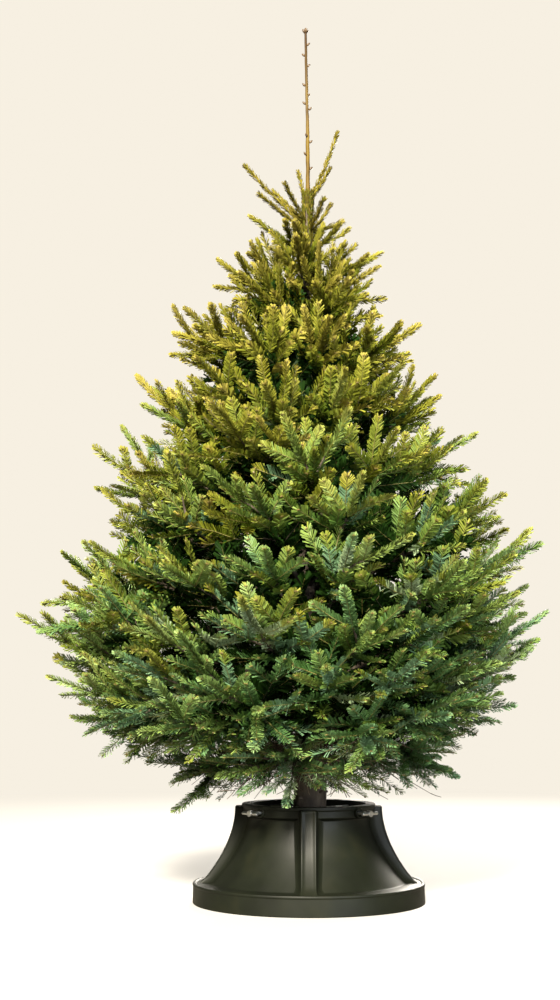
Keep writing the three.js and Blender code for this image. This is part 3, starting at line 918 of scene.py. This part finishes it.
def drops(feet, ways, lengths, fat, sides, profile):
    """Closed drops, such as buds, along directions; profile is (place, share of the width)."""
    u, v = frame_of(ways)
    rings = [
        rings_round(feet + ways * (lengths * place)[:, None], u, v, (lengths * fat * share)[:, None], sides)
        for place, share in profile
    ]
    ends = [(feet + ways * (lengths * place)[:, None])[:, None] for place in (-0.08, 1.0)]
    body = wall(len(profile), sides)
    tris = np.concatenate([*caps(len(profile), sides), body[:, [0, 1, 2]], body[:, [0, 2, 3]]])
    verts = np.concatenate(rings + ends, axis=1)
    return verts.reshape(-1, 3), copies(tris, sides * len(profile) + 2, len(feet))


leafy = keep & ~dead & (KIND != STEM)
twigs("twigs_young", leafy & (YEAR <= 0), (0.15, 0.11, 0.030), 90.0,
      [(0.35, (0.075, 0.060, 0.014)), (0.65, (0.14, 0.13, 0.030))], 0.6)
twigs("twigs_old", leafy & (YEAR >= 1) & ~MAIN, (0.075, 0.055, 0.035), 70.0,
      [(0.35, (0.022, 0.018, 0.009)), (0.68, (0.075, 0.058, 0.034))], 0.8)
twigs("twigs_dead", keep & dead, (0.15, 0.11, 0.07), 70.0,
      [(0.35, (0.070, 0.045, 0.028)), (0.68, (0.21, 0.155, 0.105))], 0.8)


def make_buds():
    """Three small buds at the end of each young shoot that can be seen."""
    at = keep & BUD & (depth < 0.20) & ~dead
    buds = Parts()
    aside = unit(np.cross(DORSAL[at], DIR[at]))
    for lean, size in ((0.0, 1.0), (0.75, 0.78), (-0.75, 0.78)):
        feet = END[at] - DIR[at] * 0.0008 + aside * (0.0018 * np.sign(lean))
        lengths = rng.uniform(0.0050, 0.0068, len(feet)) * size
        buds.add(*drops(feet, unit(DIR[at] + aside * lean), lengths, 0.36, 4, [(0.42, 1.0)]))
    surface = Surface("bud", (0.16, 0.09, 0.030), 0.45)
    surface.mottle(80.0, [(0.3, (0.070, 0.052, 0.016)), (0.7, (0.17, 0.130, 0.040))])
    buds.make("buds", surface, "bark", smooth=False)


make_buds()

# ---- boughs, trunk and leader


def skin(centres, radii, sides, relief, closed=False):
    """A tube along centres whose skin is moved in and out by relief(turn, along), with its faces."""
    along = np.concatenate([[0], np.cumsum(np.linalg.norm(np.diff(centres, axis=0), axis=1))])
    way = unit(np.gradient(centres, axis=0))
    u = square_to(frame_of(np.broadcast_to(way.mean(0), way.shape))[0], way)
    swell = 1 + relief(turns(sides)[None, :], along[:, None])
    verts = rings_round(centres, u, np.cross(way, u), radii[:, None] * swell, sides).reshape(-1, 3)
    if not closed:
        return verts, wall(len(centres), sides)
    verts = np.concatenate([verts, centres[:1], centres[-1:]])
    return verts, wall(len(centres), sides), *caps(len(centres), sides)


bark = Surface("bark", (0.12, 0.09, 0.06), 0.85)
bark.bump(bark.mottle(60.0, [(0.30, (0.022, 0.015, 0.010)), (0.5, (0.055, 0.040, 0.027)),
                             (0.72, (0.105, 0.084, 0.060))], stretch=(1, 1, 0.35)), 0.6, 0.003)

limbs = Parts()
for path, thick in boughs:
    sides, step = (7, 1) if thick > 0.006 else (4, 2) if thick > 0.005 else (4, 5)
    path = path[::step]
    phase = rng.random() * 6.28
    limbs.add(*skin(path, np.linspace(thick, 0.0018, len(path)), sides,
                    lambda a, s: 0.10 * np.sin(3 * a + phase + 40 * s) + 0.05 * np.sin(160 * s)))
boughs_piece = limbs.make("boughs", bark, "bark")
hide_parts(*bough_nodes)

phases = rng.random(6) * 6.28


def bark_relief(a, s):
    """Shallow plates, rings and blisters of young bark."""
    plates = 0.020 * np.sin(7 * a + phases[0] + 3 * np.sin(9 * s + phases[1]))
    fine = 0.014 * np.sin(17 * a + 30 * s + phases[2]) * np.sin(55 * s + phases[3])
    rings = 0.012 * np.sin(120 * s + 2 * np.sin(a + phases[4]))
    return plates + fine + rings


def leader_relief(a, s):
    """Low ridges and swellings of the smooth young stem."""
    return 0.08 * np.sin(4 * a + 20 * s) + 0.10 * np.sin(95 * s) * np.sin(a + 41 * s)


def stem_skin(low, high, rings, sides, relief, slim=1.0):
    """The closed skin of a length of the stem, a little slimmer than the solid if asked."""
    levels = [stem(z) for z in np.linspace(low, high, rings)]
    radii = np.array([r for _, r in levels]) * slim
    return skin(np.array([centre for centre, _ in levels]), radii, sides, relief, True)


trunk = Parts()
trunk.add(*stem_skin(stations[0, 0], LEADER_FOOT, 300, 28, bark_relief))
STUBS = 14  # cut and broken twigs on the bare foot of the trunk
for _ in range(STUBS):
    z, a = rng.uniform(0.25, 0.42), rng.random() * 6.28
    centre, r = stem(z)
    out = outward(a)
    foot = centre + out * (r - 0.003)
    way = unit(out + UP * rng.uniform(-0.2, 0.5))
    spine = foot + way * np.linspace(0, rng.uniform(0.010, 0.022), 4)[:, None]
    radii = np.array([0.0055, 0.004, 0.0035, 0.003])
    trunk.add(*skin(spine, radii, 7, lambda a, s: 0.08 * np.sin(3 * a), True))
trunk_piece = trunk.make("trunk_bark", bark, "bark")
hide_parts("trunk")


def leader_surface():
    """The leader's bark, browner towards its young end."""
    surface = Surface("leader_bark", (0.1, 0.06, 0.01), 0.6, Specular_IOR_Level=0.15)
    stops = [(0.30, (0.032, 0.018, 0.003)), (0.48, (0.078, 0.048, 0.007)), (0.70, (0.115, 0.078, 0.010))]
    surface.bump(surface.mottle(38.0, stops, (1, 1, 0.4)), 0.35, 0.001)
    tree, mottled = surface.tree, surface.bsdf.inputs["Base Color"].links[0].from_socket
    place = add_node(tree, "SeparateXYZ", {"Vector": add_node(tree, "TexCoord", {}).outputs["Object"]})
    inputs = {"Value": place.outputs["Z"], "From Min": 1.95, "From Max": 2.24}
    youth = add_node(tree, "MapRange", inputs).outputs["Result"]
    inputs = {"Fac": youth, "Color1": mottled, "Color2": (0.030, 0.015, 0.004, 1)}
    feed(tree, surface.bsdf, {"Base Color": add_node(tree, "MixRGB", inputs).outputs["Color"]})
    return surface


LEADER_TOP = stations[-1, 0] - 0.010
leader = Parts()
leader.add(*stem_skin(LEADER_FOOT - 0.01, LEADER_TOP, 90, 14, leader_relief, 0.85))
leader.make("leader", leader_surface(), "bark")

# Small buds up the leader, on alternate sides, and a whorl of larger ones at its tip.
BUD_SHAPE = ((0.05, 0.55), (0.25, 0.95), (0.5, 1.0), (0.75, 0.68), (0.92, 0.28))
LEADER_BUDS = (1.868, 1.905, 1.940, 1.955, 2.030, 2.046, 2.071, 2.096, 2.151, 2.180, 2.209)  # heights
TIP_BUDS = ((0.0, 0.015), (0.75, 0.0125), (0.75, 0.0120), (0.75, 0.0125), (0.7, 0.0115))  # lean and length
leader_buds = Parts()


def add_bud(foot, way, length, fat, sides):
    """Adds one bud to the leader."""
    leader_buds.add(*drops(foot[None], unit(way)[None], np.array([length]), fat, sides, BUD_SHAPE))


for k, z in enumerate(LEADER_BUDS):
    centre, r = stem(z)
    out = outward(math.pi * (k % 2) + rng.normal(0.3, 0.5))
    add_bud(centre + out * (r - 0.0012), out + UP * 0.9, 0.0120, 0.27, 7)
centre, r = stem(LEADER_TOP)
for k, (lean, long) in enumerate(TIP_BUDS):
    out = outward(2 * math.pi * k / 4 + 0.4)
    add_bud(centre + out * r * 0.5 * bool(lean) - UP * 0.003, UP + out * lean, long, 0.29, 8)
leader_bud = Surface("leader_bud", (0.13, 0.075, 0.030), 0.45)
leader_bud.mottle(110.0, [(0.3, (0.032, 0.017, 0.008)), (0.7, (0.085, 0.050, 0.018))])
leader_buds.make("leader_buds", leader_bud, "bark")

# ---- stand

STAND_SEGMENTS = 96
FOOT_R, BAND_H, BAND_WALL = 0.285, 0.048, 0.018
RIM_R, RIM_H, STAND_H = 0.164, 0.032, 0.238
BASIN_R, BASIN_FLOOR, HUB_R = 0.138, 0.022, 0.140
FLAT_R = 0.060  # inside it a plain fan closes the floor of the basin and the underside
SKIRT_TOP_R, SKIRT_FLARE = 0.152, 0.086
CREST_TOP_R, CREST_FLARE = 0.181, 0.084
SKIRT_TOP = STAND_H - RIM_H


def skirt_radius(z):
    """Outer radius of the skirt, which flares in a hollow curve from the rim to the foot band."""
    up = np.clip((z - BAND_H) / (SKIRT_TOP - BAND_H), 0, 1)
    return SKIRT_TOP_R + SKIRT_FLARE * (1 - up) ** 1.7


def eased(profile, radius):
    """A profile with its corners rounded, and held close to them so that flats stay flat."""
    points = np.array(profile, float)
    out = [points[0]]
    for a, b, c in zip(points[:-2], points[1:-1], points[2:]):
        back, onward = unit(a - b), unit(c - b)
        if np.dot(back, onward) < -0.97:
            out.append(b)
            continue
        before, after = np.linalg.norm(a - b), np.linalg.norm(c - b)
        cut = min(radius, 0.4 * before, 0.4 * after)
        p, q = b + back * cut, b + onward * cut
        if before > 3 * cut:
            out.append(b + back * cut * 1.5)
        out += [p * (1 - s) ** 2 + 2 * b * s * (1 - s) + q * s**2 for s in (0, 0.25, 0.5, 0.75, 1)]
        if after > 3 * cut:
            out.append(b + onward * cut * 1.5)
    return np.array(out + [points[-1]])


def lathe(profile, radius, sides):
    """A turned solid from its profile of (radius, height), with eased corners and closed ends."""
    profile = eased(profile, radius)
    turn = turns(sides)
    r, z = profile[:, 0][:, None], profile[:, 1][:, None]
    verts = np.stack([r * np.cos(turn), r * np.sin(turn), z + 0 * turn], axis=-1).reshape(-1, 3)
    verts = np.concatenate([verts, [[0, 0, profile[0, 1]], [0, 0, profile[-1, 1]]]])
    return verts, wall(len(profile), sides), *caps(len(profile), sides)


def turned(verts, degrees):
    """Vertices turned round the vertical axis."""
    c, s = math.cos(math.radians(degrees)), math.sin(math.radians(degrees))
    return np.asarray(verts) @ np.array([[c, s, 0], [-s, c, 0], [0, 0, 1]])


def body_profile():
    """The stand's section: underside, foot band, skirt, rim and basin."""
    levels = np.linspace(BAND_H, SKIRT_TOP, 15)
    outside = [(skirt_radius(z), z) for z in levels]
    inside = [(skirt_radius(z) - 0.008, z - 0.008) for z in levels[:9][::-1]]
    under = [(FLAT_R, 0.0), (HUB_R, 0.0), (HUB_R, 0.120), *inside, (FOOT_R - BAND_WALL, BAND_H - 0.008)]
    band = [(FOOT_R - BAND_WALL, 0.0), (FOOT_R, 0.0), (FOOT_R - 0.0012, BAND_H - 0.007),
            (FOOT_R, BAND_H - 0.005), (FOOT_R - 0.0005, BAND_H), (FOOT_R - 0.007, BAND_H + 0.0005),
            (FOOT_R - 0.009, BAND_H - 0.002)]
    rim = [(RIM_R - 0.001, SKIRT_TOP + 0.005), (RIM_R - 0.001, STAND_H - 0.010),
           (RIM_R + 0.001, STAND_H - 0.008), (RIM_R + 0.001, STAND_H)]
    basin = [(BASIN_R + 0.003, STAND_H), (BASIN_R + 0.002, STAND_H - 0.012), (BASIN_R, BASIN_FLOOR + 0.008),
             (BASIN_R - 0.008, BASIN_FLOOR), (FLAT_R, BASIN_FLOOR)]
    return under + band + outside + rim + basin


# A leg's section: how far it stands out from the skirt towards its crest, and half its width there, from
# its root to the middle of its crest, with a raised bead on each edge.
LEG_HALF = [(0.0, 0.0350), (0.10, 0.0285), (0.45, 0.0225), (0.80, 0.0185), (0.90, 0.0180), (0.955, 0.0184),
            (0.99, 0.0176), (1.00, 0.0158), (0.985, 0.0136), (0.95, 0.0122), (0.945, 0.0060)]
LEG_LOW, LEG_HIGH = BAND_H - 0.004, STAND_H - 0.008
TOE = 0.09  # the lowest share of a leg, which spreads


def leg():
    """A leg up the skirt, spread at its toe and rounded over at its head, with its faces."""
    section = np.array([(s, -w) for s, w in LEG_HALF] + [(s, w) for s, w in LEG_HALF[::-1]])
    levels = [(s, 0.0, 0.0) for s in np.linspace(0, 1, 34)] + [(1.0, 0.0010, 0.0015), (1.0, 0.0016, 0.005)]
    rings = []
    for s, lift, pulled in levels:
        z = LEG_LOW + (LEG_HIGH - LEG_LOW) * s + lift
        toe = max(0.0, 1 - s / TOE) ** 2
        crest = CREST_TOP_R + CREST_FLARE * (1 - s) ** 1.9 + 0.007 * toe - pulled
        back = skirt_radius(z) - 0.004
        width = 1 + 0.22 * toe - pulled * 12
        out = back + (crest - back) * section[:, 0]
        rings.append(np.stack([out, section[:, 1] * width, np.full(len(section), z)], 1))
    number = len(section)
    i = np.arange(number - 1)
    one = np.stack([i + 1 + number, i + 1, i, i + number], axis=1)
    faces = (np.arange(len(rings) - 1)[:, None, None] * number + one).reshape(-1, 4)
    return np.concatenate(rings), faces, (np.arange(number) + (len(rings) - 1) * number)[None]


LAID = np.array([[0, 0, -1.0], [0, 1.0, 0], [1.0, 0, 0]])  # turns what stands along +Z to lie along +X
BOLT_H, BOLT_REACH = SKIRT_TOP + RIM_H / 2, 0.206
# A moulded boss round each bolt hole.
BOSS = [(0.0065, 0.150), (0.0135, 0.150), (0.0125, 0.1695), (0.0085, 0.1695), (0.0065, 0.167)]
bolt_centre, bolt_trunk_r = stem(BOLT_H)


def plastic_surface():
    """Dark moulded plastic with a fine grain and uneven gloss, coloured darker still as painted shade from
    the tree above it.
    """
    surface = Surface("stand_plastic", (0.0045, 0.0056, 0.0030), 0.42, Specular_IOR_Level=0.17)
    surface.mottle(14.0, [(0.30, (0.0034, 0.0042, 0.0024)), (0.55, (0.0048, 0.0060, 0.0032)),
                          (0.80, (0.0085, 0.0090, 0.0045))])
    surface.bump(surface.noise(900.0), 0.18, 0.0006)
    inputs = {"Value": surface.noise(22.0, 8.0), "To Min": 0.36, "To Max": 0.60}
    wear = add_node(surface.tree, "MapRange", inputs).outputs["Result"]
    feed(surface.tree, surface.bsdf, {"Roughness": wear})
    return surface


stand = Parts()
stand.add(*lathe(body_profile(), 0.0025, STAND_SEGMENTS))
leg_verts, *leg_faces = leg()
for k in range(4):
    stand.add(turned(leg_verts, 90 * k), *leg_faces)
boss_verts, *boss_faces = lathe(BOSS, 0.0012, 28)
for k in range(4):
    stand.add(turned(boss_verts @ LAID, 45 + 90 * k) + bolt_centre, *boss_faces)
stand_piece = stand.make("stand", plastic_surface(), "stand_plastic")
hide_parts("stand_base")

# ---- bolts

steel = Surface("bolt_steel", (0.55, 0.56, 0.57), 0.32, Metallic=1.0)
steel.mottle(120.0, [(0.3, (0.36, 0.37, 0.38)), (0.6, (0.58, 0.59, 0.60)), (0.85, (0.66, 0.64, 0.58))])
steel.bump(steel.noise(700.0), 0.12, 0.0004)

THREAD, THREAD_R, THREAD_DEPTH, THREAD_SIDES = 0.003, 0.0046, 0.0005, 12  # THREAD is its pitch
TIP_AT = bolt_trunk_r + 0.0004  # the pad's face, just off the trunk
PAD = [(0.004, TIP_AT), (0.010, TIP_AT), (0.010, TIP_AT + 0.005), (0.006, TIP_AT + 0.007),
       (0.004, TIP_AT + 0.007)]
BAR = [(0.001, -0.026), (0.0043, -0.026), (0.0043, 0.026), (0.001, 0.026)]
COLLAR = [(0.004, 0.1935), (0.0075, 0.1935), (0.0075, BOLT_REACH), (0.002, BOLT_REACH)]


def bolt_along_x():
    """A threaded bolt that points along +X, with its pad, cross bar and collar."""
    bolt = Parts()
    x = np.arange(TIP_AT + 0.006, BOLT_REACH - 0.001, THREAD / 3)[:, None]
    turn = turns(THREAD_SIDES)
    ridge = THREAD_R + THREAD_DEPTH * np.sin(2 * np.pi * x / THREAD - turn)
    bolt.add(np.stack([x + 0 * turn, ridge * np.cos(turn), ridge * np.sin(turn)], axis=-1),
             wall(len(x), THREAD_SIDES))
    verts, *faces = lathe(PAD, 0.0012, 20)
    bolt.add(verts @ LAID, *faces)
    verts, *faces = lathe(BAR, 0.0016, 16)
    bolt.add(verts[:, [0, 2, 1]] + np.array([BOLT_REACH - 0.005, 0, 0]), *(f[:, ::-1] for f in faces))
    verts, *faces = lathe(COLLAR, 0.001, 18)
    bolt.add(verts @ LAID, *faces)
    return bolt


for k in range(4):
    bolt = bolt_along_x()
    bolt.verts = [turned(v, 45 + 90 * k) + bolt_centre for v in bolt.verts]
    bolt_piece = bolt.make(f"bolt_{k + 1}", steel, "bolt_steel")
    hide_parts(f"stand_bolt_{k + 1}")

# ---- stage, light and camera

SEEN = (0.93, 0.87, 0.76, 1)  # the pale warm backdrop that the camera sees


def finish_stage(tree, output, unseen, seen):
    """Ends a node tree with one shader that the camera sees and another that lights the tree."""
    path = add_node(tree, "LightPath", {})
    mix = add_node(tree, "MixShader", {"Fac": path.outputs["Is Camera Ray"], 1: unseen, 2: seen})
    feed(tree, tree.nodes[output], {"Surface": mix.outputs["Shader"]})


floor_surface = Surface("floor", (0.36, 0.36, 0.365), 0.7, Specular_IOR_Level=0.2)
bpy.ops.mesh.primitive_plane_add(size=60, location=(0, 0, 0))
floor = bpy.context.active_object
floor.name = "floor"
floor.data.materials.append(floor_surface.material)
# Near the tree the floor takes its shadow. Further off it passes into the backdrop with no edge. It looks
# pale but sends little light back up into the crown, as the floor of a dim room does.
tree = floor_surface.tree
place = add_node(tree, "TexCoord", {}).outputs["Object"]
distance = add_node(tree, "VectorMath", {0: place}, operation="LENGTH").outputs["Value"]
inputs = {"Value": distance, "From Min": 1.0, "From Max": 4.5}
fade = add_node(tree, "MapRange", inputs, interpolation_type="SMOOTHSTEP").outputs["Result"]
far_floor = add_node(tree, "Emission", {"Color": SEEN}).outputs["Emission"]
inputs = {"Fac": fade, 1: floor_surface.bsdf.outputs["BSDF"], 2: far_floor}
seen_floor = add_node(tree, "MixShader", inputs).outputs["Shader"]
dim_floor = add_node(tree, "BsdfDiffuse", {"Color": (0.16, 0.15, 0.13, 1)}).outputs["BSDF"]
finish_stage(tree, "Material Output", dim_floor, seen_floor)

world = bpy.data.worlds.new("studio")
bpy.context.scene.world = world
world.use_nodes = True
tree = world.node_tree
light_sky = tree.nodes["Background"]
feed(tree, light_sky, {"Color": (1.0, 0.95, 0.78, 1), "Strength": 0.14})
seen_sky = add_node(tree, "Background", {"Color": SEEN})
finish_stage(tree, "World Output", light_sky.outputs["Background"], seen_sky.outputs["Background"])


def area(name, place, target, size, power, color):
    """A soft square light that looks at a target."""
    light = bpy.data.lights.new(name, "AREA")
    light.size = size
    light.energy = power
    light.color = color
    lamp = bpy.data.objects.new(name, light)
    lamp.location = place
    lamp.rotation_euler = (Vector(target) - Vector(place)).to_track_quat("-Z", "Y").to_euler()
    bpy.context.scene.collection.objects.link(lamp)


area("key", (-2.8, -12.4, 8.6), (0, 0, 1.0), 3.0, 13600, (1.0, 0.92, 0.76))
area("fill", (2.9, -4.4, 1.0), (0, 0, 0.7), 2.4, 230, (0.88, 0.95, 1.0))
area("back", (1.5, 5.4, 3.2), (0, 0, 1.0), 3.4, 900, (1.0, 0.93, 0.82))

camera_data = bpy.data.cameras.new("camera")
camera = bpy.data.objects.new("camera", camera_data)
bpy.context.scene.collection.objects.link(camera)
bpy.context.scene.camera = camera
camera_data.lens = 54.0
camera_data.sensor_width = 36.0
camera.location = (0.0, -3.78, 0.49)
camera.rotation_euler = (math.radians(90 + 7.6), 0, math.radians(1.07))
bpy.context.scene.view_settings.view_transform = "Standard"
